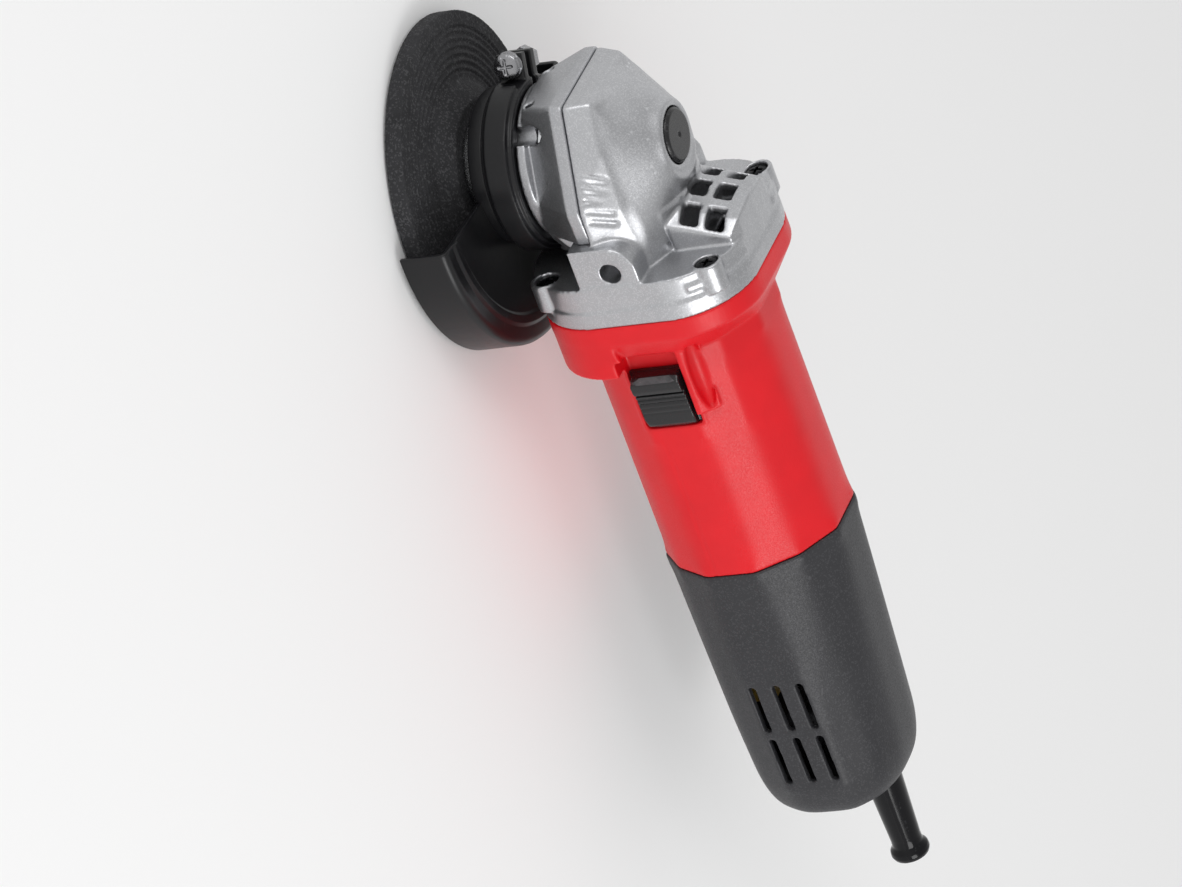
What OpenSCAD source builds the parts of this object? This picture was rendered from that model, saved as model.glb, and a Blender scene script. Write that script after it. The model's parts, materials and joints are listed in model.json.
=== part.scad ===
// Angle grinder for 100 mm grinding discs, with its drive train inside.
// Working frame: X runs forward along the motor axis, Z up along the spindle axis and
// the two axes meet at the working origin. Every node is moved by place() so that the
// stored origin is the bottom centre of the whole tool.

/* [Disc] */
// Radius of the grinding disc
disc_r = 50; // [45:0.5:62]
// Thickness of the grinding disc
disc_t = 6; // [3:0.5:8]
// Radius of the disc's bore
disc_bore_r = 8; // [5:0.1:12]

/* [Body] */
// Height of the motor axis above the back face of the disc rim
axis_h = 51.9; // [45:0.1:60]
// Rear face of the gear housing flange, in front of the motor housing
flange_x = -42; // [-50:1:-38]
// Joint between motor housing and rear handle
handle_x = -141; // [-150:1:-130]
// Rear end of the rear handle
tail_x = -241; // [-260:1:-225]
// Rear end of the cord sleeve
sleeve_x = -275; // [-300:1:-260]
// Wall thickness of the plastic housings
wall = 2.6; // [2:0.1:4]

/* [Gears] */
// Teeth of the pinion
pinion_n = 13; // [11:1:17]
// Teeth of the bevel gear
gear_n = 40; // [33:1:45]
// Module at the outer end of the teeth
gear_m = 1; // [0.8:0.05:1.2]

/* [Mounts] */
// Wall radius of the side-handle thread
side_hole_r = 3.4; // [2.5:0.1:5]
// Length of the side-handle thread
side_hole_l = 12; // [8:1:16]
// Wall radius of the bore for the mains cord
cord_r = 3.5; // [2.5:0.1:5]

/* [Travel] */
// Travel of the slide switch
switch_travel = 7; // [4:0.5:9]
// Travel of the spindle lock
lock_travel = 3.2; // [2:0.1:4]

/* [Hidden] */
$fn = 64;
eps = 0.01;
rim_back = -axis_h;                 // back face of the disc rim
rim_front = rim_back - disc_t;      // lowest plane of the tool
hub_back = rim_back + 4.5;          // back face of the raised disc hub
hub_front = hub_back - disc_t;
seam_z = -5.7;                      // joint of gear housing and bearing flange
neck_r = 21.5;                      // collar that carries the guard
guard_r = 57;
guard_top = -40.6;
boot_x1 = -144.5;
clamp_r = 31.2;                     // distance of the clamp screw from the spindle axis
cone_r = gear_m * sqrt(pinion_n * pinion_n + gear_n * gear_n) / 2;
pinion_a = atan(pinion_n / gear_n);
gear_a = 90 - pinion_a;
tooth_w = 7;                        // face width of the teeth
side_x = -23.5;                     // side-handle hole
side_z = -1;
side_y = 35;
screw_y = 26.4;                     // gear-case screws
screw_z = 27.4;
lock_x = 3;                         // lock button and its pin
pin_x = 8.8;
sleeve_z = 8.6;
brush_x = -123;

red = [0.83, 0.09, 0.12];
dark = [0.2, 0.2, 0.22];
black = [0.05, 0.05, 0.055];
alu = [0.74, 0.75, 0.78];
steel = [0.6, 0.61, 0.63];
copper = [0.72, 0.38, 0.2];
brass = [0.75, 0.6, 0.3];
grit = [0.12, 0.12, 0.125];

// ---------- helpers ----------
module place() translate([-(disc_r + sleeve_x) / 2, 0, -rim_front]) children();
module along_x(x) translate([x, 0, 0]) rotate([90, 0, 90]) children();
module prism_x(x1, x2) along_x(x1) linear_extrude(x2 - x1) children();
module rod_x(x1, x2, r) translate([x1, 0, 0]) rotate([0, 90, 0]) cylinder(h = x2 - x1, r = r);
module tube_x(x1, x2, ro, ri) difference() {
  rod_x(x1, x2, ro);
  rod_x(x1 - 1, x2 + 1, ri);
}
module rod_z(z1, z2, r) translate([0, 0, z1]) cylinder(h = z2 - z1, r = r);
module tube_z(z1, z2, ro, ri) difference() {
  rod_z(z1, z2, ro);
  rod_z(z1 - 1, z2 + 1, ri);
}
module box(a, b) translate(a) cube(b - a);
module mirror_y() {
  children();
  mirror([0, 1, 0]) children();
}
module four(y, z) for (sy = [-1, 1], sz = [-1, 1]) translate([0, sy * y, sz * z]) children();

// ---------- cross sections across the motor axis ----------
body_sec = [[26, 6], [19, 17], [8, 24.5], [-8, 24.5], [-19, 17], [-26, 6],
  [-26, -8], [-20, -18], [-12, -24.5], [12, -24.5], [20, -18], [26, -8]];
tail_sec = [[23, 7], [16, 14.5], [7, 17.5], [-7, 17.5], [-16, 14.5], [-23, 7],
  [-23, -9], [-18, -18], [-11, -22.5], [11, -22.5], [18, -18], [23, -9]];
module body2d(r) offset(r = r, $fn = 32) polygon(body_sec);
module tail2d(r) offset(r = r, $fn = 32) polygon(tail_sec);
module flange2d(d) offset(r = 24.2 + d, $fn = 72) square(24.2, center = true);

// ---------- motor housing ----------
sw_x1 = -83.6;
sw_x2 = -55.5;
sw_z1 = -10.6;
sw_z2 = 8.6;
module motor_outer() {
  prism_x(handle_x, -50) body2d(5);
  prism_x(-48.5, flange_x) flange2d(0);
  hull() {
    prism_x(-48.8, -48.2) flange2d(-0.05);
    prism_x(-58, -57.5) body2d(5.1);
  }
  // the collar is longer below
  difference() {
    prism_x(-61, -47) flange2d(-0.1);
    translate([-46, 0, 0]) rotate([0, 12, 0]) box([-40, -50, -10], [10, 50, 60]);
    translate([-61, 0, -37]) rotate([0, 40, 0]) box([-20, -50, -6], [6, 50, 2.4]);
  }
}
module rear_spider() difference() {
  union() {
    rod_x(boot_x1 - 1.5, -135.5, 13.2);
    for (a = [45, 135]) rotate([a, 0, 0]) {
      box([-145, -2, -27], [-137, 2, 27]);
      box([-140.6, -2, -29], [-137, 2, 29]);
    }
  }
  rod_x(boot_x1, -130, 11);
  rod_x(-150, -140, 6);
}
module motor_housing() color(red) place() {
  difference() {
    motor_outer();
    prism_x(handle_x - 1, -51) body2d(5 - wall);
    rod_x(-52, flange_x + 1, 31);
    box([sw_x1, 26, sw_z1], [sw_x2, 45, sw_z2]);
    four(screw_y, screw_z) rod_x(-48, flange_x + 1, 1.85);
  }
  // tub under the switch button
  difference() {
    box([sw_x1 - 1, 26.4, sw_z1 - 1.2], [sw_x2 + 1, 30, sw_z2 + 1.2]);
    box([sw_x1, 27.4, sw_z1], [sw_x2, 40, sw_z2]);
    box([sw_x1 - 2, 26.7, -3.3], [sw_x1 + 1, 28.5, 2.3]);
  }
  // raised brow on the upper side of the switch
  translate([0, 0, sw_z2]) prism_x(sw_x1 + 4, sw_x2) polygon([[28, 0], [32.2, 0], [32.2, 1.6], [28, 7.5], [27, 6]]);
  // ribs that hold the stator
  for (a = [45, 135, 225, 315]) rotate([a, 0, 0]) box([-112, -1.5, 25.6], [-60, 1.5, 29.2]);
  rear_spider();
}

// ---------- rear handle ----------
module handle_shape(d) hull() {
  prism_x(handle_x - 0.5, handle_x + (d > 0 ? 1 : 0)) body2d(5.4 - d);
  prism_x(-205, -204) tail2d(6.3 - d);
  prism_x(-229, -228) tail2d(5.2 - d);
  prism_x(-236, -235) tail2d(3.6 - d);
  prism_x(tail_x + d, tail_x + d + 0.5) tail2d(0.5 - d);
}
module handle_slots() for (z = [-9.3, -1, 7.1], x = [-194.3, -215.4])
  box([x - 9.1, -40, z - 1.2], [x + 9.1, 40, z + 1.2]);
module rear_handle() color(dark) place() {
  difference() {
    handle_shape(0);
    handle_shape(wall);
    translate([0, 0, sleeve_z]) rod_x(tail_x - 1, tail_x + 8, 6.4);
    intersection() {
      handle_slots();
      union() {
        box([-230, 20, -15], [-180, 40, 15]);
        box([-230, -40, -15], [-180, -20, 15]);
      }
    }
    translate([-150.5, 0, -40]) cylinder(h = 14, r = 1.9);
    translate([-150.5, 0, -40]) cylinder(h = 10, r = 3.6);
  }
  // socket of the handle screw
  difference() {
    translate([-150.5, 0, -30.5]) cylinder(h = 4.5, r = 5);
    translate([-150.5, 0, -41]) cylinder(h = 20, r = 1.9);
    translate([-150.5, 0, -40]) cylinder(h = 10, r = 3.6);
  }
  // seats for the switch block and the cord clamp
  difference() {
    box([-188, -14, -26.5], [-186, 14, -13]);
    for (s = [-1, 1]) translate([0, s * 3.5, -21.8]) rod_x(-190, -184, 1);
  }
  difference() {
    box([-226, -9, -26], [-210, 9, 0.2]);
    for (y = [-6.4, 6.4]) translate([-218, y, 0]) rod_z(-8, 1, 1.5);
  }
}

// ---------- gear housing ----------
seam_plan = [[27.5, 18], [-3, 31.2], [-14, 30.4], [-25.8, 20]];
function plan(l) = concat(l, [for (i = [len(l) - 1 : -1 : 0]) [l[i][0], -l[i][1]]]);
grip_y = [26.4, 27.8, 29.1, 29.7, 29.9];  // the grip grooves follow the flank
module head_shape() hull() {
  translate([0, 0, seam_z]) linear_extrude(1) offset(r = 1.5, $fn = 24) offset(delta = -1.5)
    polygon(plan([[27.5, 18], [-3, 31.2], [-30, 33.5]]));
  mirror_y() for (p = [[25.2, 15, 1.6], [11, 21.8, 2.8], [-6, 25.2, 4.6], [-27, 24.8, 7.2],
    [-27, 8, 16.2], [12.4, 4, 17.2]]) translate(p) sphere(r = 1.6, $fn = 16);
  translate([lock_x, 0, 17]) cylinder(h = 2.4, r = 11.2, $fn = 48);
}
module hump(d) hull() mirror_y()
  for (p = [[-14.2, 0, 15], [-15.9, 12, 14.6], [-19.2, 18, 14.4],
      [-21.2, 0, 35.8], [-22.6, 12, 35.4], [-26, 17.6, 33.6]])
    translate([p[0] - d, max(p[1] - d, 0), p[2] - (p[2] > 20 ? d : 0)]) {
      cube([0.2, 0.01, 0.2]);
      translate([-36 - p[0] - d, 0, 0]) cube([0.2, 0.01, 0.2]);
    }
module gear_housing_outer() {
  head_shape();
  hump(0);
  prism_x(flange_x, -36.4) flange2d(0);
  prism_x(-37, -28) flange2d(-0.7);
  // lugs of the gear-case screws
  four(screw_y + 0.6, screw_z + 0.6) rod_x(-37, -27.4, 4.6);
  // side-handle bosses
  mirror_y() {
    translate([side_x, 20, side_z]) rotate([-90, 0, 0]) cylinder(h = side_y - 20, r = 9);
    box([-36, 20, side_z - 12], [side_x + 9, side_y, side_z]);
    box([-36, 20, side_z - 1], [side_x, side_y, side_z + 9]);
  }
  // low rib that follows the upper corners of the flange
  intersection() {
    prism_x(-33.8, -31.6) flange2d(0);
    mirror_y() box([-40, 14, 22], [-30, 48, 50]);
  }
}
module gear_housing() color(alu) place() difference() {
  gear_housing_outer();
  // seat of the bearing flange
  box([-25.9, -23.95, -40], [40, 23.95, seam_z]);
  // gear room, pinion tunnel and bearing seat
  rod_z(seam_z - 1, -2, 21.8);
  rod_z(-3, 3.4, 15);
  rod_x(-28.5, 0, 9.6);
  rod_x(-39, -28, 13);
  rod_x(flange_x - 1, -38, 31.5);
  rod_z(2, 11, 5.2);
  rod_z(10.5, 11.6, 3);
  // lock button
  translate([lock_x, 0, 12.2]) cylinder(h = 12, r = 9.1);
  translate([pin_x, 0, 0]) cylinder(h = 14, r = 2.08);
  // exhaust
  difference() {
    intersection() {
      hump(2.2);
      box([-37, -15.6, 16.4], [-10, 15.6, 33.4]);
    }
    box([-28, -30, 10], [0, 30, 16.6]);
  }
  box([-39, -15, 17], [-30, 15, 26.5]);
  for (y = [-12.2, 0, 12.2], z = [20.6, 28.4])
    box([-31, y - (y == 0 ? 4.3 : 4), z - 2.8], [-13.6, y + (y == 0 ? 4.3 : 4), z + 2.8]);
  // grip grooves on the flanks
  mirror_y() for (i = [0 : 4]) translate([6 - i * 3.6, grip_y[i], 0.6])
    rotate([i < 3 ? 12 : 22, -27, 0]) cylinder(h = 9.5, r = 1.3, center = true);
  // screws and side handle
  four(screw_y, screw_z) rod_x(flange_x - 1, -20, 2.1);
  four(screw_y, screw_z) rod_x(-30.4, -20, 4);
  mirror_y() translate([side_x, side_y - side_hole_l, side_z]) rotate([-90, 0, 0])
    cylinder(h = side_hole_l + 1, r = side_hole_r);
  flange_screw_spots() rod_z(seam_z - 1, seam_z + 7, 1.5);
}

// ---------- bearing flange ----------
module flange_screw_spots() for (p = [[18, 15.6], [18, -15.6], [-18, 18], [-18, -18]])
  translate([p[0], p[1], 0]) children();
module bearing_flange() color(alu) place() difference() {
  union() {
    hull() {
      translate([0, 0, seam_z - 4]) linear_extrude(3.95) offset(r = 2.1, $fn = 24) offset(delta = -1.5)
        polygon(plan(seam_plan));
      translate([0, 0, -23]) linear_extrude(1.6) offset(r = 4, $fn = 32) offset(delta = -4)
        polygon(plan([[25.2, 11.6], [-2.6, 23.5], [-12.4, 23], [-23.4, 18]]));
    }
    rod_z(-38, -22, neck_r);
    rod_z(-25.3, -22, 24.6);
  }
  rod_z(-19.6, seam_z + 1, 21.8);
  rod_z(-34, -19, 16);
  rod_z(-39, -33, 9.6);
  flange_screw_spots() rod_z(-30, 0, 1.7);
  flange_screw_spots() rod_z(-30, -12.6, 3.05);
  for (a = [60, 180, 300]) rotate(a) translate([18.9, 0, 0]) rod_z(-22, -19, 1.08);
  // room for the side-handle bosses
  mirror_y() box([-40, 23.9, -40], [side_x + 9.1, 45, 0]);
  // two short key slots in the lower rim
  for (a = [22, -22]) rotate(a) box([22.6, -1, -21.6], [30, 1, -18.6]);
}

// ---------- screws ----------
module pan_head(r, h) difference() {
  rotate_extrude() intersection() {
    translate([0, -h * 2.2]) circle(r = h * 3.2);
    square([r, h * 1.1]);
  }
  for (a = [0, 90]) rotate(a) translate([-r * 0.6, -0.45, h * 0.35]) cube([r * 1.2, 0.9, h]);
}
module gearcase_screws() color(black) place() four(screw_y, screw_z) {
  rod_x(-47.8, -30.4, 1.8);
  translate([-30.4, 0, 0]) rotate([0, 90, 0]) pan_head(3.7, 2.6);
}
module flange_screws() color(black) place() flange_screw_spots() {
  rod_z(-12.6, seam_z + 6, 1.45);
  translate([0, 0, -12.6]) rotate([180, 0, 0]) pan_head(2.8, 2);
}
module handle_screw() color(black) place() translate([-150.5, 0, -30]) {
  cylinder(h = 8, r = 1.75);
  rotate([180, 0, 0]) pan_head(3.3, 1.8);
}
module retainer_screws() color(black) place() for (a = [60, 180, 300])
  rotate(a) translate([18.9, 0, 0]) {
    rod_z(-21.8, -17.8, 1);
    translate([0, 0, -17.8]) pan_head(2, 0.9);
  }
module stator_screws() color(steel) place() for (s = [-1, 1]) translate([0, 0, s * 22.6]) {
  rod_x(-110, -57.6, 1.6);
  rod_x(-112.4, -110, 2.9);
}
module clamp_screws() color(black) place() for (y = [-6.4, 6.4]) translate([-218, y, 0]) {
  rod_z(-7, 7.4, 1.4);
  translate([0, 0, 7.4]) pan_head(2.6, 1.8);
}

// ---------- fixed electrical parts ----------
module fan_baffle() color(black) place() difference() {
  prism_x(-54.3, -52.3) body2d(5 - wall - 0.2);
  rod_x(-53.3, -50, 25.6);
  rod_x(-60, -50, 20.5);
}
module stator_core() color(steel) place() difference() {
  rod_x(-106, -64, 25.4);
  rod_x(-107, -63, 18);
  for (s = [-1, 1]) {
    translate([0, 0, s * 22.6]) rod_x(-107, -63, 1.75);
    for (t = [-1, 1]) rotate([s * 32 + (t > 0 ? 180 : 0), 0, 0])
      box([-107, -1.6, 17], [-63, 1.6, 21.6]);
  }
}
module coil_end(x1, x2) intersection() {
  tube_x(x1, x2, 22.6, 18.6);
  union() for (s = [-1, 1]) rotate([s * 90, 0, 0]) hull() {
    box([x1, -13, 0], [x2, 13, 30]);
    box([x1, -17, 0], [x2, 17, 12]);
  }
}
module stator_coils() color(copper) place() {
  coil_end(-114.5, -106);
  coil_end(-64, -58.2);
}
module brush_frame(s) scale([1, 1, s]) translate([brush_x, 0, 0]) children();
module brush_holder(s) color(brass) place() brush_frame(s) difference() {
  union() {
    box([-4.4, -4.1, 12.6], [4.4, 4.1, 26.4]);
    box([-7, -4.1, 22.6], [7, 4.1, 24]);
  }
  box([-3.3, -3.05, 10], [3.3, 3.05, 25.4]);
}
module carbon(s) color([0.13, 0.13, 0.14]) place() difference() {
  brush_frame(s) box([-3.2, -2.95, 8], [3.2, 2.95, 19.6]);
  rod_x(-140, -110, 11.05);
}
module coil_spring(r, wire, z1, z2, turns) {
  n = turns * 20;
  for (i = [0 : n - 1]) {
    a = i * 18;
    za = z1 + wire + (z2 - z1 - 2 * wire) * i / n;
    zb = z1 + wire + (z2 - z1 - 2 * wire) * (i + 1) / n;
    dir = [r * cos(a + 18) - r * cos(a), r * sin(a + 18) - r * sin(a), zb - za];
    len = norm(dir);
    translate([r * cos(a), r * sin(a), za]) rotate([0, acos(dir[2] / len), atan2(dir[1], dir[0])])
      cylinder(h = len + wire * 0.3, r = wire, $fn = 8);
  }
}
module brush_spring(s) color(steel) place() brush_frame(s)
  coil_spring(2.1, 0.3, 19.6, 25.4, 3);
module switch_block() color(black) place() difference() {
  union() {
    box([-186, -13, -24.5], [-158, 13, -4]);
    box([-184, -10, -4], [-160, 10, -2.6]);
    box([-162, 13, -10], [-158, 22, -4]);
  }
  box([-184.2, -8, -3.5], [-159.8, 8, -2]);
}
module capacitor() color([0.75, 0.55, 0.12]) place()
  box([-205, -8, -23.4], [-190.5, 8, -14]);
module cord_clamp() color(black) place() difference() {
  box([-221, -10, 4.2], [-215, 10, 7.4]);
  for (y = [-6.4, 6.4]) translate([-218, y, 0]) rod_z(0, 10, 1.6);
  translate([0, 0, sleeve_z - 6]) rod_x(-225, -210, 3.3);
}
module cord_sleeve() color(black) place() translate([0, 0, sleeve_z]) rotate([0, -90, 0])
  rotate_extrude() polygon([[cord_r, 229], [8.4, 229], [8.4, 235.6], [6.2, 236], [6.2, 243],
    [5.9, 250], [5.1, 268], [5.2, 270.5], [6.4, 272], [6.6, 273.6], [6, -sleeve_x], [cord_r, -sleeve_x]]);
module leads() color([0.5, 0.1, 0.1]) place() for (s = [-1, 1]) {
  translate([0, s * 9, -25.6]) rod_x(-157.5, -128, 0.8);
  translate([0, s * 3.5, -21.8]) rod_x(-190, -186.2, 0.8);
}

// ---------- bearings ----------
module ring2d(r1, r2, w) translate([r1, 0]) square([r2 - r1, w]);
module bearing_outer(ri, ro, w, b) rotate_extrude() difference() {
  ring2d((ri + ro) / 2 + b * 0.45, ro, w);
  translate([(ri + ro) / 2, w / 2]) circle(r = b + 0.06);
}
module bearing_inner(ri, ro, w, b) rotate_extrude() difference() {
  ring2d(ri, (ri + ro) / 2 - b * 0.45, w);
  translate([(ri + ro) / 2, w / 2]) circle(r = b + 0.06);
}
module bearing_cage(ri, ro, w, b, n) {
  p = (ri + ro) / 2;
  for (i = [0 : n - 1]) rotate(i * 360 / n) translate([p, 0, w / 2]) sphere(r = b);
  translate([0, 0, w / 2 - b * 0.5]) rotate_extrude() ring2d(p - 0.4, p + 0.4, b);
}
module spindle_bearing_outer() color(steel) place() translate([0, 0, -34]) bearing_outer(6, 16, 10, 2.9);
module spindle_bearing_inner() color(steel) place() translate([0, 0, -34]) bearing_inner(6, 16, 10, 2.9);
module spindle_cage() color(steel) place() translate([0, 0, -34]) bearing_cage(6, 16, 10, 2.9, 8);
module at_front() translate([-36, 0, 0]) rotate([0, 90, 0]) children();
module at_rear() translate([-143.5, 0, 0]) rotate([0, 90, 0]) children();
module front_bearing_outer() color(steel) place() at_front() bearing_outer(4.5, 13, 8, 2.4);
module front_bearing_inner() color(steel) place() at_front() bearing_inner(4.5, 13, 8, 2.4);
module front_cage() color(steel) place() at_front() bearing_cage(4.5, 13, 8, 2.4, 8);
module rear_bearing_outer() color(steel) place() at_rear() bearing_outer(3.5, 9.5, 6, 1.7);
module rear_bearing_inner() color(steel) place() at_rear() bearing_inner(3.5, 9.5, 6, 1.7);
module rear_cage() color(steel) place() at_rear() bearing_cage(3.5, 9.5, 6, 1.7, 8);
module rear_bearing_boot() color(black) place() difference() {
  rod_x(boot_x1, -137, 11);
  rod_x(-143.5, -136, 9.5);
  rod_x(-150, -140, 6);
}
module bearing_retainer() color(steel) place() difference() {
  rod_z(-19, -17.8, 21.4);
  rod_z(-25, -15, 11);
  for (a = [60, 180, 300]) rotate(a) translate([18.9, 0, 0]) rod_z(-25, -10, 1.1);
}
module spindle_bush() color(brass) place() tube_z(3.4, 10.4, 5.2, 4.05);

// ---------- gears ----------
// azimuth of a spherical involute from base cone b at polar angle g
function inv(b, g) = acos(min(1, cos(g) / cos(b))) / sin(b) - acos(min(1, tan(b) / tan(g)));
function flank(n, a, slack, g) = let (b = asin(cos(20) * sin(a)))
  90 / n - slack + inv(b, a) - inv(b, max(g, b));
function tooth(n, a, slack, root, tip, s) = concat(
  [for (i = [0 : s]) let (g = root + (tip - root) * i / s) [g, -flank(n, a, slack, g)]],
  [for (i = [s : -1 : 0]) let (g = root + (tip - root) * i / s) [g, flank(n, a, slack, g)]]);
function on_cone(r, g, f) = [r * sin(g) * cos(f), r * sin(g) * sin(f), r * cos(g)];
// toothed ring about +Z with the cone's apex at the origin
module bevel(n, a, slack, add, ded, s, inner) {
  rt = a - atan(ded * gear_m / cone_r);
  tp = a + atan(add * gear_m / cone_r);
  tt = tooth(n, a, slack, rt, tp, s);
  k = len(tt) + 1;
  prof = [for (i = [0 : n - 1], j = [0 : k - 1]) j < k - 1
    ? [tt[j][0], tt[j][1] + i * 360 / n] : [rt, (i + 0.5) * 360 / n]];
  m = len(prof);
  small = cone_r - tooth_w;
  pts = concat([for (p = prof) on_cone(cone_r, p[0], p[1])], [for (p = prof) on_cone(small, p[0], p[1])],
    [for (p = prof) [inner[0][0] * cos(p[1]), inner[0][0] * sin(p[1]), inner[0][1]]],
    [for (p = prof) [inner[1][0] * cos(p[1]), inner[1][0] * sin(p[1]), inner[1][1]]]);
  faces = [for (r = [0 : 3], i = [0 : m - 1]) let (u = (i + 1) % m, q = ((r + 1) % 4) * m)
    each [[r * m + i, q + i, r * m + u], [r * m + u, q + i, q + u]]];
  polyhedron(points = pts, faces = faces);
}
module bevel_gear() color(steel) place() rotate([180, 0, 0]) rotate(180 / gear_n)
  bevel(gear_n, gear_a, 0.2, 0.65, 1.5, 3, [[12.6, 6.6], [18.6, 10]]);
module gear_hub() color(steel) place() difference() {
  rotate_extrude() polygon([[5, -8], [12.2, -8], [12.5, -6.62], [18.5, -10.02], [18.5, -12.5], [10, -17], [5, -17]]);
  for (a = [0 : 90 : 270]) rotate(a) translate([pin_x, 0, 0]) rod_z(-18, -5, 2.35);
}
module pinion() color(steel) place() rotate([0, -90, 0]) rotate(180)
  bevel(pinion_n, pinion_a, 0.6, 1.15, 1, 4, [[3.5, 13.2], [3.5, 20.6]]);
module pinion_spacer() color(steel) place() tube_x(-27.55, -20.7, 5.6, 3.5);
module pinion_nut() color(steel) place() difference() {
  translate([-13.1, 0, 0]) rotate([0, 90, 0]) cylinder(h = 3.4, r = 4.9, $fn = 6);
  rod_x(-14, -9, 3);
}

// ---------- spindle ----------
module spindle() color(steel) place() {
  rod_z(hub_front - 3.6, -42.4, 5);
  rod_z(-42.4, -34.2, 8.2);
  rod_z(-34.2, -17, 6);
  rod_z(-17, 3, 5);
  rod_z(3, 10.2, 4);
}
module inner_flange() color(steel) place() difference() {
  union() {
    rod_z(hub_back, -42.4, 17);
    rod_z(hub_back - 2.6, hub_back + 1, disc_bore_r - 0.05);
  }
  rod_z(-60, -40, 5.05);
  tube_z(hub_back - 0.1, hub_back + 1, 12, 9.4);
}
module disc_nut() color(steel) place() difference() {
  union() {
    rod_z(hub_front - 3.6, hub_front, 17);
    rod_z(hub_front - 1, hub_front + 2.4, disc_bore_r - 0.1);
  }
  rod_z(-60, -40, 5.05);
  for (a = [0, 180]) rotate(a) translate([12.5, 0, 0]) rod_z(-60, -40, 2);
}
module grinding_disc() color(grit) place() difference() {
  rotate_extrude() polygon([[disc_bore_r, hub_front], [20, hub_front], [27, rim_front],
    [disc_r, rim_front], [disc_r, rim_back], [28.5, rim_back], [21.5, hub_back],
    [disc_bore_r, hub_back]]);
  for (r = [31, 34, 37, 40, 43]) rotate_extrude()
    polygon([[r, rim_back + 0.5], [r, rim_back - 0.5], [r + 1.3, rim_back + 0.5]]);
}

// ---------- armature ----------
module armature_shaft() color(steel) place() {
  rod_x(-13.2, -9.2, 2.95);
  rod_x(-27.6, -13.2, 3.45);
  rod_x(-134, -27.6, 4.45);
  rod_x(-137.4, -134, 5.2);
  rod_x(-143.4, -137.4, 3.45);
}
module armature_core() color(steel) place() difference() {
  rod_x(-104, -66, 17.5);
  rod_x(-105, -65, 4.5);
  for (a = [0 : 30 : 330]) rotate([a, 0, 0]) box([-105, -0.8, 12], [-65, 0.8, 19]);
}
module armature_windings() color(copper) place() {
  difference() {
    for (m = [0, 1]) translate([m * -170, 0, 0]) mirror([m, 0, 0]) rotate([0, 90, 0])
      rotate_extrude() polygon([[6, -66], [15.6, -66], [16.2, -63], [14.6, -60], [10, -58.6], [6, -59]]);
    rod_x(-120, -50, 4.5);
  }
  for (a = [0 : 30 : 330]) rotate([a, 0, 0]) box([-104, -0.75, 12.1], [-66, 0.75, 16.9]);
}
module commutator() color(copper) place() difference() {
  union() {
    rod_x(-130, -116, 11);
    rod_x(-116, -114, 12);
    rod_x(-131.5, -112, 8);
  }
  rod_x(-140, -110, 4.5);
  for (a = [0 : 15 : 345]) rotate([a, 0, 0]) box([-131, -0.25, 10], [-117, 0.25, 13]);
}
module fan() color(black) place() difference() {
  union() {
    rod_x(-41.6, -40, 29);
    rotate([0, 90, 0]) rotate_extrude() polygon([[4, -54], [8, -54], [10, -48], [18, -41], [4, -40.2]]);
    for (a = [0 : 15 : 345]) rotate([a, 0, 0]) translate([0, 0, 10]) rotate([18, 0, 0])
      box([-51.4, -0.7, 8], [-41, 0.7, 18.2]);
  }
  rod_x(-60, -30, 4.5);
}

// ---------- guard ----------
module half_ring(z1, z2, ro, ri) translate([0, 0, z1]) rotate([0, 0, 87]) rotate_extrude(angle = 186)
  ring2d(ri, ro, z2 - z1);
module guard() color(black) place() {
  half_ring(guard_top - 1.6, guard_top, guard_r, 21.6);
  half_ring(-56.6, guard_top - 0.1, guard_r, guard_r - 1.6);
  half_ring(guard_top - 0.2, guard_top + 0.7, 50, 47.5);
  tube_z(guard_top - 1.6, -26, 23.3, 21.56);
  tube_z(guard_top - 1.6, -37, 24.6, 21.56);
}
module band_frame() rotate(-22) children();
module guard_band() color(black) place() band_frame() {
  difference() {
    tube_z(-36.6, -25.6, 26.6, 23.35);
    box([20, -1.6, -40], [30, 1.6, -20]);
  }
  difference() {
    tube_z(-35, -27.2, 28, 26.2);
    box([20, -11, -40], [30, 11, -20]);
  }
  for (s = [-1, 1]) difference() {
    translate([0, s > 0 ? 1.6 : -5, 0]) box([24.4, 0, -35.6], [34.8, 3.4, -26.6]);
    translate([clamp_r, 20, -31.1]) rotate([90, 0, 0]) cylinder(h = 40, r = 2.6);
  }
}
module guard_screw() color(steel) place() band_frame() translate([clamp_r, 0, -31.1]) rotate([-90, 0, 0]) {
  translate([0, 0, -11]) cylinder(h = 19, r = 2.5);
  translate([0, 0, 5.05]) cylinder(h = 1, r = 4.6);
  translate([0, 0, 6.05]) pan_head(4.2, 2.8);
}
module guard_nut() color(steel) place() band_frame() translate([clamp_r, -5.05, -31.1]) rotate([90, 0, 0])
  difference() {
    cylinder(h = 3.6, r = 4.4, $fn = 6);
    translate([0, 0, -1]) cylinder(h = 6, r = 2.55);
  }

// ---------- spindle lock ----------
module lock_button() color(black) place() translate([lock_x, 0, 0]) difference() {
  rotate_extrude() polygon([[0, 15.6], [8.8, 15.6], [8.8, 19.4], [8, 20.3], [0, 20.3]]);
  rod_z(15, 19.1, 4.4);
  translate([pin_x - lock_x, 0, 0]) rod_z(15, 19.1, 1.95);
  rod_z(19.8, 21, 0.8);
}
module lock_pin() color(steel) place() translate([pin_x, 0, 0]) rod_z(-7.2, 19.1, 1.95);
module lock_spring() color(steel) place() translate([lock_x, 0, 0]) coil_spring(3.2, 0.35, 12.2, 19.1, 3);

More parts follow.
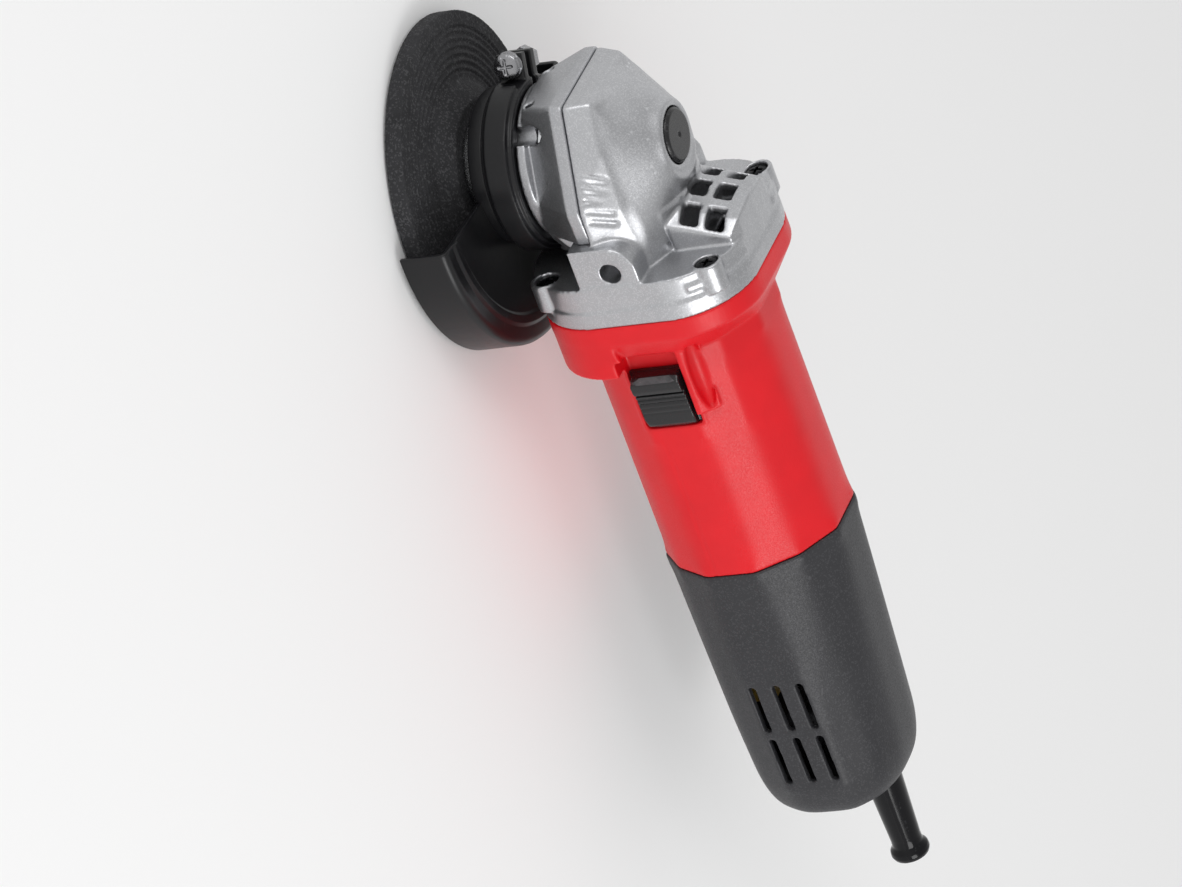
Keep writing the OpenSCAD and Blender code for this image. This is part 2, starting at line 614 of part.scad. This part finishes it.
// ---------- slide switch ----------
module switch_button() color(black) place() difference() {
  union() {
    box([sw_x1 + 0.3, 27.5, sw_z1 + 0.4], [sw_x1 + 20.8, 29.2, sw_z2 - 0.4]);
    translate([0, 0, sw_z1 + 1.2]) linear_extrude(sw_z2 - sw_z1 - 2.4) polygon([[sw_x1 + 0.5, 28],
      [sw_x1 + 0.5, 31], [sw_x1 + 2, 32], [sw_x1 + 7, 32.2], [sw_x1 + 12, 32.6], [sw_x1 + 15.5, 33.8],
      [sw_x1 + 18, 34], [sw_x1 + 20, 32], [sw_x1 + 20.6, 29], [sw_x1 + 20.6, 28]]);
  }
  for (i = [0 : 4]) box([sw_x1 + 6 + i * 1.8, 32, -20], [sw_x1 + 6.8 + i * 1.8, 36, 20]);
}
module switch_rod() color(black) place() {
  box([-93, 27.5, -2.8], [sw_x1 + 0.3, 28.3, 1.8]);
  box([-157.4, 26.2, -2.8], [-92.5, 28, 1.8]);
  box([-157.4, 20, -8], [-155.4, 27, -3]);
  box([-157.4, 24.5, -8], [-155.4, 28, 1.8]);
}

module brush_holder_top() brush_holder(1);
module brush_holder_bottom() brush_holder(-1);
module brush_spring_top() brush_spring(1);
module brush_spring_bottom() brush_spring(-1);
module brush_top() carbon(1);
module brush_bottom() carbon(-1);

motor_housing();
rear_handle();
gear_housing();
bearing_flange();
gearcase_screws();
flange_screws();
handle_screw();
fan_baffle();
stator_core();
stator_coils();
stator_screws();
brush_holder_top();
brush_holder_bottom();
brush_spring_top();
brush_spring_bottom();
brush_top();
brush_bottom();
switch_block();
capacitor();
cord_clamp();
clamp_screws();
cord_sleeve();
leads();
spindle_bearing_outer();
bearing_retainer();
retainer_screws();
spindle_bush();
front_bearing_outer();
rear_bearing_outer();
rear_bearing_boot();
spindle();
bevel_gear();
gear_hub();
inner_flange();
disc_nut();
grinding_disc();
spindle_bearing_inner();
spindle_cage();
armature_shaft();
armature_core();
armature_windings();
commutator();
fan();
pinion();
pinion_spacer();
pinion_nut();
front_bearing_inner();
rear_bearing_inner();
front_cage();
rear_cage();
guard();
guard_band();
guard_screw();
guard_nut();
lock_button();
lock_pin();
lock_spring();
switch_button();
switch_rod();
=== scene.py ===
"""Looks of the angle grinder: softened castings and mouldings, a gritty disc, a pressed guard."""

import json
import math

import bmesh
import bpy
import numpy as np
from mathutils import Matrix, Vector, noise

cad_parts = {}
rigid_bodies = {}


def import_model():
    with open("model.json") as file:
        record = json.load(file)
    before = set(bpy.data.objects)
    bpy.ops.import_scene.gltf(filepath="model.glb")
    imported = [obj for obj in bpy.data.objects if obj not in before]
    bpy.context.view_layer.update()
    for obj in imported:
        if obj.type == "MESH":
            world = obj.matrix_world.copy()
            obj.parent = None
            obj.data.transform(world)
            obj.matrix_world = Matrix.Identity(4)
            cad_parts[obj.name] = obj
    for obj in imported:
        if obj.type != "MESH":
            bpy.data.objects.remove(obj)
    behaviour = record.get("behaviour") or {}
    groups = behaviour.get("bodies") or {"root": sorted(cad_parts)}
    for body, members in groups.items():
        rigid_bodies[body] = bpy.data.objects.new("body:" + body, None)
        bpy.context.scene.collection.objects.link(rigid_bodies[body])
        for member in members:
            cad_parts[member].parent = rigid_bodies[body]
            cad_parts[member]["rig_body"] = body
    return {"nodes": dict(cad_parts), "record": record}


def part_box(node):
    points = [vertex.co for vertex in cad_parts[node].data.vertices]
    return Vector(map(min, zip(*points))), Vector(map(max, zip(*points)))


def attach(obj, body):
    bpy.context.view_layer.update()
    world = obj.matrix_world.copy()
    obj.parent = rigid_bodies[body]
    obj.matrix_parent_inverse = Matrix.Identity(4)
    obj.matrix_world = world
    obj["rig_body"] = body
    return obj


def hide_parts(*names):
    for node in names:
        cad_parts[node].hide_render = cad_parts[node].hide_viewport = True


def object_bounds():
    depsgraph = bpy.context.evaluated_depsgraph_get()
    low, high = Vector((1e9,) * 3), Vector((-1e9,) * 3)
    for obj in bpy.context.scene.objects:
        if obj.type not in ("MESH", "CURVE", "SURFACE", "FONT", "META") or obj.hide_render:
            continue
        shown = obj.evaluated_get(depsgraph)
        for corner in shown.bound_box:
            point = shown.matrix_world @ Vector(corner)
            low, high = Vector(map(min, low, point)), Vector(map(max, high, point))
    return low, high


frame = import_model()
cad_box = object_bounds()
MM = 0.001


# ---------- places, from the frame ----------
def middle(node):
    low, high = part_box(node)
    return (low + high) / 2


SPINDLE_X = middle("grinding_disc").x
AXIS_Z = middle("armature_shaft").z


def at(x, y, z):
    """A point given in mm from where the spindle axis meets the motor axis."""
    return Vector((SPINDLE_X + x * MM, y * MM, AXIS_Z + z * MM))


def down_mm(height):
    """Millimetres above the motor axis of a height in the row frame."""
    return (height - AXIS_Z) / MM


# ---------- materials ----------
class Surface:
    """A procedural finish: broad and fine variation of colour, roughness and bump, with edges painted
    brighter as wear and painted highlight.
    """

    def __init__(self, name, colour, rough, metal=0.0, specular=0.5):
        self.material = bpy.data.materials.new(name)
        self.material.use_nodes = True
        self.tree = self.material.node_tree
        self.shader = self.tree.nodes["Principled BSDF"]
        self.shader.inputs["Metallic"].default_value = metal
        self.shader.inputs["Specular IOR Level"].default_value = specular
        self.colour = colour
        self.rough = rough
        self.place = self.node("ShaderNodeTexCoord").outputs["Object"]

    def node(self, kind, **settings):
        made = self.tree.nodes.new(kind)
        for key, value in settings.items():
            setattr(made, key, value)
        return made

    def link(self, out, into):
        self.tree.links.new(out, into)

    def noise(self, size_mm, detail=2.0):
        texture = self.node("ShaderNodeTexNoise")
        texture.inputs["Scale"].default_value = 1 / (size_mm * MM)
        texture.inputs["Detail"].default_value = detail
        self.link(self.place, texture.inputs["Vector"])
        return texture.outputs["Fac"]

    def specks(self, size_mm):
        texture = self.node("ShaderNodeTexVoronoi")
        texture.inputs["Scale"].default_value = 1 / (size_mm * MM)
        self.link(self.place, texture.inputs["Vector"])
        return texture.outputs["Color"]

    def span(self, value, low, high, start=0.3, end=0.7):
        ranged = self.node("ShaderNodeMapRange")
        self.link(value, ranged.inputs["Value"])
        for key, number in (("From Min", start), ("From Max", end), ("To Min", low), ("To Max", high)):
            ranged.inputs[key].default_value = number
        return ranged.outputs["Result"]

    def blend(self, factor, first, second):
        mix = self.node("ShaderNodeMix", data_type="RGBA")
        self.link(factor, mix.inputs["Factor"])
        for key, value in (("A", first), ("B", second)):
            socket = [s for s in mix.inputs if s.name == key and s.type == "RGBA"][0]
            if isinstance(value, tuple):
                socket.default_value = (*value, 1)
            else:
                self.link(value, socket)
        return [s for s in mix.outputs if s.type == "RGBA"][0]

    def shade(self, factor):
        return tuple(min(1.0, c * factor) for c in self.colour)

    def build(self, vary, grain_mm, bump_mm, rough_vary=0.08, broad_mm=14, edge=None, edge_at=0.53,
              speck=None):
        patches = self.span(self.noise(broad_mm, 3), 0, 1)
        colour = self.blend(patches, self.shade(1 - vary), self.shade(1 + vary))
        fine = self.noise(grain_mm)
        if speck:
            size, light, share = speck
            cells = self.node("ShaderNodeSeparateColor")
            self.link(self.specks(size), cells.inputs[0])
            picked = self.span(cells.outputs[0], 0, 1, 1 - share, 1 - share * 0.7)
            colour = self.blend(picked, colour, light)
        rough = self.span(fine, self.rough - rough_vary, self.rough + rough_vary)
        # Edges picked by pointiness get the edge colour: real wear together with a painted highlight along
        # the rims.
        if edge:
            geometry = self.node("ShaderNodeNewGeometry")
            wear_and_highlight = self.span(geometry.outputs["Pointiness"], 0, 1, edge_at, edge_at + 0.06)
            patchy = self.node("ShaderNodeMath", operation="MULTIPLY")
            self.link(wear_and_highlight, patchy.inputs[0])
            self.link(self.span(self.noise(2.5, 4), 0.35, 1), patchy.inputs[1])
            colour = self.blend(patchy.outputs[0], colour, edge)
        self.link(colour, self.shader.inputs["Base Color"])
        self.link(rough, self.shader.inputs["Roughness"])
        bump = self.node("ShaderNodeBump")
        bump.inputs["Distance"].default_value = bump_mm * MM
        bump.inputs["Strength"].default_value = 0.6
        self.link(fine, bump.inputs["Height"])
        self.link(bump.outputs["Normal"], self.shader.inputs["Normal"])
        return self.material


def metal(name, colour, rough, **kinds):
    """A metal whose edges are painted a little brighter: wear together with a painted edge highlight."""
    wear_and_highlight = tuple(min(1, c * 1.3) for c in colour)
    settings = {"vary": 0.06, "grain_mm": 0.5, "bump_mm": 0.02, "edge": wear_and_highlight}
    settings.update(kinds)
    return Surface(name, colour, rough, 1.0).build(**settings)


def plastic(name, colour, rough, specular=0.5, **kinds):
    """A plastic or rubber with slightly paler edges: wear together with a painted edge highlight."""
    wear_and_highlight = tuple(min(1, c * 1.5 + 0.02) for c in colour)
    settings = {"vary": 0.08, "grain_mm": 0.45, "bump_mm": 0.03, "edge": wear_and_highlight}
    settings.update(kinds)
    return Surface(name, colour, rough, specular=specular).build(**settings)


SATIN = (0.47, 0.475, 0.49)
# Each edge colour below is a painted highlight on the rims as well as wear.
MATERIALS = {
    "housing_red": plastic("housing_red", (0.66, 0.004, 0.010), 0.40, vary=0.05, bump_mm=0.06,
                           edge=(0.85, 0.03, 0.035), specular=0.35),
    "handle_dark": plastic("handle_dark", (0.022, 0.022, 0.025), 0.46, grain_mm=0.5, bump_mm=0.1,
                           specular=0.4, speck=(0.4, (0.04, 0.04, 0.044), 0.2)),
    "die_cast": metal("die_cast", SATIN, 0.38, vary=0.04, grain_mm=0.5, bump_mm=0.045,
                      edge=(0.72, 0.73, 0.75), edge_at=0.56, speck=(0.32, (0.56, 0.565, 0.58), 0.3)),
    "die_cast_lower": metal("die_cast_lower", (0.44, 0.445, 0.46), 0.4, vary=0.05, grain_mm=0.5,
                            bump_mm=0.045, edge=(0.8, 0.81, 0.83), speck=(0.32, (0.52, 0.525, 0.54), 0.3)),
    "screw_black": metal("screw_black", (0.018, 0.018, 0.02), 0.34, grain_mm=1.2, bump_mm=0.004,
                         edge=(0.07, 0.07, 0.075), edge_at=0.58),
    "screw_bright": metal("screw_bright", (0.3, 0.3, 0.31), 0.22, edge=(0.75, 0.76, 0.78)),
    "black_plastic": plastic("black_plastic", (0.02, 0.02, 0.022), 0.4),
    "lamination": metal("lamination", (0.32, 0.32, 0.34), 0.45, grain_mm=0.5, bump_mm=0.1),
    "winding": metal("winding", (0.62, 0.26, 0.11), 0.32, grain_mm=0.6, bump_mm=0.25),
    "steel": metal("steel", (0.56, 0.57, 0.58), 0.25),
    "gear_steel": metal("gear_steel", (0.4, 0.41, 0.43), 0.3),
    "brass": metal("brass", (0.75, 0.55, 0.25), 0.3),
    "carbon": plastic("carbon", (0.02, 0.02, 0.021), 0.6, grain_mm=0.3),
    "capacitor_yellow": plastic("capacitor_yellow", (0.3, 0.19, 0.03), 0.4),
    "sleeve_rubber": plastic("sleeve_rubber", (0.004, 0.004, 0.005), 0.13, bump_mm=0.006, rough_vary=0.03,
                             edge=(0.02, 0.02, 0.022), edge_at=0.58, specular=0.22),
    "boot_rubber": plastic("boot_rubber", (0.02, 0.02, 0.02), 0.7),
    "lead_wire": plastic("lead_wire", (0.3, 0.02, 0.02), 0.4),
    "abrasive": Surface("abrasive", (0.026, 0.026, 0.028), 0.85, specular=0.25).build(
        vary=0.18, grain_mm=0.5, bump_mm=0.35, rough_vary=0.08, broad_mm=9,
        edge=(0.10, 0.10, 0.105), edge_at=0.53, speck=(0.5, (0.055, 0.055, 0.058), 0.25)),
    "copper": metal("copper", (0.7, 0.3, 0.16), 0.28),
    "guard_black": plastic("guard_black", (0.006, 0.006, 0.007), 0.34, grain_mm=2.2, bump_mm=0.004,
                           rough_vary=0.02, edge=(0.03, 0.03, 0.033), edge_at=0.6, specular=0.35),
    "button_black": plastic("button_black", (0.006, 0.006, 0.007), 0.3, edge=(0.04, 0.04, 0.045)),
    "switch_black": plastic("switch_black", (0.008, 0.008, 0.009), 0.2, edge=(0.08, 0.08, 0.085)),
}
SLOT_OF = {part["node"]: part["material_slot"] for part in frame["record"]["subparts"]}
BODY_OF = {name: node["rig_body"] for name, node in frame["nodes"].items()}
for name, node in frame["nodes"].items():
    node.data.materials.clear()
    node.data.materials.append(MATERIALS[SLOT_OF[name]])


# ---------- mesh tools ----------
def new_piece(name, mesh, node):
    """Links a mesh as the piece that stands for a CAD node and rides on that node's body."""
    piece = bpy.data.objects.new(name, mesh)
    bpy.context.scene.collection.objects.link(piece)
    mesh.materials.clear()
    mesh.materials.append(MATERIALS[SLOT_OF[node]])
    mesh.shade_smooth()
    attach(piece, BODY_OF[node])
    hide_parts(node)
    return piece


def working_copy(node):
    """An unlinked copy of a node's mesh with its seams welded."""
    work = bmesh.new()
    work.from_mesh(frame["nodes"][node].data)
    bmesh.ops.remove_doubles(work, verts=work.verts, dist=0.002 * MM)
    mesh = bpy.data.meshes.new(node + "_work")
    work.to_mesh(mesh)
    work.free()
    return bpy.data.objects.new(node + "_work", mesh)


def applied(worker):
    """The mesh of a scratch object with its modifiers applied; the object goes away."""
    bpy.context.scene.collection.objects.link(worker)
    graph = bpy.context.evaluated_depsgraph_get()
    mesh = bpy.data.meshes.new_from_object(worker.evaluated_get(graph))
    bpy.data.objects.remove(worker)
    return mesh


def add_cutter(worker, cutter_mesh):
    """Cuts a mesh out of a scratch object; returns the cutter, to be removed afterwards."""
    cutter = bpy.data.objects.new("cutter", cutter_mesh)
    bpy.context.scene.collection.objects.link(cutter)
    cut = worker.modifiers.new("cut", "BOOLEAN")
    cut.operation = "DIFFERENCE"
    cut.solver = "EXACT"
    cut.object = cutter
    return cutter


def soften(node, voxel_mm, passes, cutters=(), finish=None):
    """A node with rounded edges: fine voxels, then smoothing over a few of them."""
    worker = working_copy(node)
    tools = [add_cutter(worker, mesh) for mesh in cutters]
    voxels = worker.modifiers.new("voxels", "REMESH")
    voxels.mode = "VOXEL"
    voxels.voxel_size = voxel_mm * MM
    relax = worker.modifiers.new("relax", "SMOOTH")
    relax.factor = 0.5
    relax.iterations = passes
    mesh = applied(worker)
    for tool in tools:
        bpy.data.objects.remove(tool)
    if finish:
        mesh = finish(mesh)
    return new_piece(node + "_moulded", mesh, node)


def design(point):
    """The reverse of at(): mm from where the two axes meet."""
    return (point.x - SPINDLE_X) / MM, point.y / MM, (point.z - AXIS_Z) / MM


def ramp(value, length):
    """0 below zero, 1 above length, smooth between."""
    t = min(1.0, max(0.0, value / length))
    return t * t * (3 - 2 * t)


def fair(mesh, weight):
    """Lays the weighted region onto the smooth surface that fits its own heights best."""
    picked = []
    for v in mesh.vertices:
        x, y, z = design(v.co)
        share = weight(x, y, z)
        if share > 0.01 and v.normal.z > 0.45:
            picked.append((v, share, x / 30, (y / 25) ** 2, z))
    terms = np.array([[u**i * t**j for i in range(5) for j in range(3) if i + 2 * j <= 5]
                      for _, _, u, t, _ in picked])
    heights = np.array([z for *_, z in picked])
    smooth = terms @ np.linalg.lstsq(terms, heights, rcond=None)[0]
    for (v, share, _, _, z), height in zip(picked, smooth):
        v.co.z += share * (height - z) * MM
    mesh.update()
    return mesh


def relax(mesh, weight, passes):
    """Smooths the weighted region over the given number of passes."""
    worker = bpy.data.objects.new("relax", mesh)
    group = worker.vertex_groups.new(name="region")
    for v in mesh.vertices:
        share = weight(*design(v.co))
        if share > 0.01:
            group.add([v.index], share, "REPLACE")
    smooth = worker.modifiers.new("relax", "SMOOTH")
    smooth.vertex_group = "region"
    smooth.factor = 0.6
    smooth.iterations = passes
    return applied(worker)


def press(mesh, depth):
    """Moves each vertex inward along its normal by depth(x, y, z) mm."""
    moves = [(v, depth(*design(v.co))) for v in mesh.vertices]
    for v, amount in moves:
        if amount:
            v.co -= v.normal * amount * MM
    mesh.update()
    return mesh


def ellipsoid(centre, reach):
    """A smooth cutter with the given centre and half lengths in mm."""

    def build(work):
        bmesh.ops.create_uvsphere(work, u_segments=40, v_segments=20, radius=1)
        for v in work.verts:
            v.co = at(*(c + p * r for c, p, r in zip(centre, v.co, reach)))

    return mesh_of(build)


def mesh_of(builder):
    """A mesh filled by builder(bmesh)."""
    work = bmesh.new()
    builder(work)
    bmesh.ops.recalc_face_normals(work, faces=work.faces)
    mesh = bpy.data.meshes.new("made")
    work.to_mesh(mesh)
    work.free()
    return mesh


def sweep(work, profile, start_deg, end_deg, steps):
    """Turns a closed (r, z) outline about the spindle axis; a part turn gets end faces."""
    whole = abs(end_deg - start_deg) >= 360
    rings = []
    for i in range(steps if whole else steps + 1):
        angle = math.radians(start_deg + (end_deg - start_deg) * i / steps)
        rings.append([work.verts.new(at(r * math.cos(angle), r * math.sin(angle), z)) for r, z in profile])
    pairs = zip(rings, rings[1:] + rings[:1] if whole else rings[1:])
    for near, far in pairs:
        for j in range(len(profile)):
            k = (j + 1) % len(profile)
            work.faces.new((near[j], near[k], far[k], far[j]))
    if not whole:
        work.faces.new(rings[0])
        work.faces.new(list(reversed(rings[-1])))


def dense(outline, step):
    """The outline with points added so that no edge is longer than step."""
    points = []
    for a, b in zip(outline, outline[1:] + outline[:1]):
        count = max(1, math.ceil(math.dist(a, b) / step))
        points += [(a[0] + (b[0] - a[0]) * i / count, a[1] + (b[1] - a[1]) * i / count)
                   for i in range(count)]
    return points


def rounded(outline, radii, steps=5):
    """The outline with each corner replaced by an arc of its own radius."""
    points = []
    n = len(outline)
    for i, corner in enumerate(outline):
        before, here, after = (Vector(outline[k % n]) for k in (i - 1, i, i + 1))
        radius = radii[i] if isinstance(radii, (list, tuple)) else radii
        into, out = (before - here).normalized(), (after - here).normalized()
        half = into.angle(out) / 2
        if radius <= 0 or half > math.radians(88):
            points.append(tuple(here))
            continue
        reach = radius / math.tan(half)
        centre = here + (into + out).normalized() * radius / math.sin(half)
        start, end = here + into * reach, here + out * reach
        for k in range(steps + 1):
            mid = start.lerp(end, k / steps) - centre
            points.append(tuple(centre + mid.normalized() * radius))
    return points


# ---------- grinding disc ----------
low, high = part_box("grinding_disc")
DISC_R = (high.x - low.x) / 2 / MM
DISC_FRONT = down_mm(low.z)
RIM_BACK = DISC_FRONT + 6
HUB_BACK = down_mm(high.z)
HUB_RISE = HUB_BACK - RIM_BACK
BORE_R = 8
RIDGES = (30.6, 44.8)
RIDGE_PITCH = 2.35
RIDGE_HEIGHT = 0.55
GRIT = 0.16


def disc_profile():
    outline = rounded([(BORE_R, HUB_BACK), (21.5, HUB_BACK), (28.5, RIM_BACK), (DISC_R, RIM_BACK),
                       (DISC_R, DISC_FRONT), (27, DISC_FRONT), (20, DISC_FRONT + HUB_RISE),
                       (BORE_R, DISC_FRONT + HUB_RISE)], [0, 2, 3, 0.7, 0.7, 2, 2, 0])
    points = []
    for r, z in dense(outline, 0.42):
        if RIDGES[0] < r < RIDGES[1] and z > RIM_BACK - 1:
            z -= RIDGE_HEIGHT * (0.5 + 0.5 * math.cos(2 * math.pi * (r - RIDGES[0]) / RIDGE_PITCH))
        points.append((r, z))
    return points


def disc_mesh(work):
    sweep(work, disc_profile(), 0, 360, 420)
    work.normal_update()
    bmesh.ops.recalc_face_normals(work, faces=work.faces)
    for v in work.verts:
        grit = noise.noise(v.co / (0.9 * MM)) * 0.6 + noise.noise(v.co / (0.45 * MM)) * 0.4
        v.co -= v.normal * (GRIT * MM * (0.75 + grit))


new_piece("disc_abrasive", mesh_of(disc_mesh), "grinding_disc")


# ---------- guard ----------
low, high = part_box("guard")
GUARD_R = (high.y - low.y) / 2 / MM
SKIRT_END = down_mm(low.z)
PLATE_TOP = -40.6
SHEET = 1.6
GUARD_FROM, GUARD_TO = 87.0, 273.0
COLLAR_IN, COLLAR_OUT, COLLAR_FOOT = 21.6, 23.3, 24.6  # radii of the collar
COLLAR_LOW, COLLAR_STEP, COLLAR_TOP = -42.1, -37, -26


def guard_mesh(work):
    under = PLATE_TOP - SHEET
    outline = [(22, PLATE_TOP), (46.6, PLATE_TOP), (47.6, PLATE_TOP + 0.7), (50, PLATE_TOP + 0.7),
               (51.2, PLATE_TOP), (GUARD_R, PLATE_TOP), (GUARD_R, SKIRT_END),
               (GUARD_R - SHEET, SKIRT_END), (GUARD_R - SHEET, under), (22, under)]
    sweep(work, rounded(outline, [0, 0.8, 0.8, 0.8, 0.8, 2.6, 0.5, 0.5, 1.0, 0]), GUARD_FROM, GUARD_TO, 186)


def collar_mesh(work):
    outline = [(COLLAR_IN, COLLAR_LOW), (COLLAR_FOOT, COLLAR_LOW), (COLLAR_FOOT, COLLAR_STEP),
               (COLLAR_OUT, COLLAR_STEP + 0.4), (COLLAR_OUT, COLLAR_TOP), (COLLAR_IN, COLLAR_TOP)]
    sweep(work, rounded(outline, [0, 0.5, 1.2, 0.4, 0.3, 0.3]), 0, 360, 180)


def guard_all(work):
    guard_mesh(work)
    collar_mesh(work)


guard = new_piece("guard_pressing", mesh_of(guard_all), "guard")
bevel = guard.modifiers.new("edges", "BEVEL")
bevel.width = 0.25 * MM
bevel.segments = 2
bevel.angle_limit = math.radians(50)

# ---------- castings and mouldings ----------
SIDE_Y = 20  # beyond this a place is on the side that holds the switch
HEAD_EDGE = ((-27, 26.2), (-6, 26.8), (11, 23.3), (25.4, 16.4))  # plan of the edge between flank and crown


def edge_y(x):
    for (x1, y1), (x2, y2) in zip(HEAD_EDGE, HEAD_EDGE[1:]):
        if x <= x2:
            return y1 + (y2 - y1) * max(0, x - x1) / (x2 - x1)
    return HEAD_EDGE[-1][1]


def crown(x, y, z):
    """How far a place lies on the smooth crown of the gear head."""
    from_button = math.hypot(x - 3, y) - 11.5
    on_hump = ramp(-12.5 - x, 2) * ramp(19.5 - abs(y), 2) * ramp(z - 12, 2)
    return (ramp(edge_y(x) - abs(y) - 0.5, 3) * ramp(26 - x, 3) * ramp(z - 1, 1)
            * ramp(from_button, 3) * (1 - on_hump) * ramp(x + 26, 3))


soften("gear_housing", 0.5, 6, finish=lambda mesh: fair(mesh, crown))
soften("bearing_flange", 0.45, 6)
NOTCH = ellipsoid((-66, 29.6, 13.6), (13, 3.4, 2.9))  # thumb notch above the switch
PARTING_Z = -6
PARTING_FRONT = -86
PARTING_HALF = 0.9
PARTING_DEPTH = 0.16


def parting_line(x, y, z):
    """A fine groove where the moulding's halves meet, rearward of the switch."""
    if y < SIDE_Y or x > PARTING_FRONT or abs(z - PARTING_Z) > PARTING_HALF:
        return 0
    return PARTING_DEPTH * (1 - abs(z - PARTING_Z) / PARTING_HALF) * ramp(PARTING_FRONT - x, 3)


def beyond(value, low, high):
    """How far a value lies outside a range, negative inside it."""
    return max(low - value, value - high)


def body_skin(x, y, z):
    """The skin of the motor housing between joint and collar, clear of the switch recess."""
    clear = 1 if y < SIDE_Y else ramp(max(beyond(x, -89, -50), beyond(z, -15, 19)), 4)
    return clear * ramp(x + 139.5, 4) * ramp(-64 - x, 4)


def notch_edge(x, y, z):
    """The rim of the thumb notch and the front lower corner of the switch recess."""
    if y < SIDE_Y:
        return 0
    rim = ramp(1.3 - math.hypot((x + 68) / 16, (z - 14.5) / 6.5), 0.35)
    corner = ramp(8 - math.hypot(x + 61, z + 13.5), 3)
    return max(rim, corner)


def button_corners(x, y, z):
    """The four upright corners of the slide switch."""
    spots = [(u, w) for u in (-83.3, -62.8) for w in (-9.4, 7.4)]
    return ramp(y - 29.5, 1) * max(ramp(3.6 - math.hypot(x - u, z - w), 2) for u, w in spots)


def body_finish(mesh):
    mesh = relax(mesh, body_skin, 300)
    mesh = relax(mesh, notch_edge, 110)
    return press(mesh, parting_line)


def handle_skin(x, y, z):
    """The skin of the handle behind the joint, clear of the air slots."""
    clear = 1 if abs(y) < 19 else ramp(max(beyond(x, -227, -182), beyond(z, -13, 11)), 4)
    return clear * ramp(-144 - x, 4)


def handle_end(x, y, z):
    """The domed rear end of the handle."""
    return ramp(-226 - x, 6)


def handle_finish(mesh):
    return relax(relax(mesh, handle_skin, 60), handle_end, 260)


soften("motor_housing", 0.55, 6, cutters=[NOTCH], finish=body_finish)
soften("rear_handle", 0.5, 6, finish=handle_finish)
soften("guard_band", 0.3, 14)
soften("guard_screw", 0.22, 5)
for fastener in ("guard_nut", "gearcase_screws", "flange_screws", "handle_screw"):
    soften(fastener, 0.22, 3)
soften("lock_button", 0.25, 4)
soften("switch_button", 0.22, 5, finish=lambda mesh: relax(mesh, button_corners, 90))
soften("cord_sleeve", 0.3, 4)
for clamping_piece in ("disc_nut", "inner_flange"):
    soften(clamping_piece, 0.35, 3)

# ---------- floor, light, camera ----------
FLOOR_SIZE = 40
FLOOR_GAP = 0.0005


def floor_grid(work):
    bmesh.ops.create_grid(work, x_segments=8, y_segments=8, size=FLOOR_SIZE / 2)


floor_mesh = mesh_of(floor_grid)
floor_mesh.transform(Matrix.Translation((0, 0, cad_box[0].z - FLOOR_GAP)))
floor = bpy.data.objects.new("floor", floor_mesh)
bpy.context.scene.collection.objects.link(floor)
paint = bpy.data.materials.new("floor_paint")
paint.use_nodes = True
paint.node_tree.nodes["Principled BSDF"].inputs["Base Color"].default_value = (0.93, 0.93, 0.93, 1)
paint.node_tree.nodes["Principled BSDF"].inputs["Roughness"].default_value = 0.9
floor_mesh.materials.append(paint)

HORIZON_LIGHT, ZENITH_LIGHT = 0.95, 0.55
world = bpy.data.worlds.new("studio")
bpy.context.scene.world = world
world.use_nodes = True
sky = world.node_tree
sky.nodes["Background"].inputs["Color"].default_value = (1, 1, 1, 1)
height = sky.nodes.new("ShaderNodeSeparateXYZ")
sky.links.new(sky.nodes.new("ShaderNodeTexCoord").outputs["Generated"], height.inputs[0])
fall = sky.nodes.new("ShaderNodeMapRange")
SKY_FALL = {"From Min": 0.05, "From Max": 0.9, "To Min": HORIZON_LIGHT, "To Max": ZENITH_LIGHT}
for key, value in SKY_FALL.items():
    fall.inputs[key].default_value = value
sky.links.new(height.outputs["Z"], fall.inputs["Value"])
sky.links.new(fall.outputs["Result"], sky.nodes["Background"].inputs["Strength"])

TARGET = at(-100, 0, 0)


def softbox(name, offset, size, power):
    data = bpy.data.lights.new(name, "AREA")
    data.shape = "SQUARE"
    data.size = size
    data.energy = power
    lamp = bpy.data.objects.new(name, data)
    bpy.context.scene.collection.objects.link(lamp)
    lamp.location = TARGET + Vector(offset)
    lamp.rotation_euler = (TARGET - lamp.location).to_track_quat("-Z", "Y").to_euler()


SOFTBOX_SIZE = 0.8
softbox("key", (-0.8, 1.3, 0.93), SOFTBOX_SIZE, 12)
softbox("front", (1.6, 0.5, 0.6), SOFTBOX_SIZE, 7)

# the view: high on the left side of the tool, with the tool's nose up in the picture
VIEW_BACK = Vector((0.446, 0.780, 0.439)).normalized()
VIEW_UP = Vector((0.835, -0.539, 0.109))
VIEW_DISTANCE = 2.6
VIEW_AIM = at(-83.9, 35.0, -28.75)
lens = bpy.data.cameras.new("view")
lens.sensor_width = 36
lens.lens = 252.6  # mm, for the sensor width above
lens.clip_end = 100
camera = bpy.data.objects.new("view", lens)
bpy.context.scene.collection.objects.link(camera)
camera.location = at(0, 0, RIM_BACK) + VIEW_BACK * VIEW_DISTANCE
back = (camera.location - VIEW_AIM).normalized()
side = VIEW_UP.cross(back).normalized()
camera.matrix_world = Matrix.Translation(camera.location) @ Matrix(
    (side, back.cross(side), back)).transposed().to_4x4()
bpy.context.scene.camera = camera
bpy.context.scene.view_settings.view_transform = "Standard"
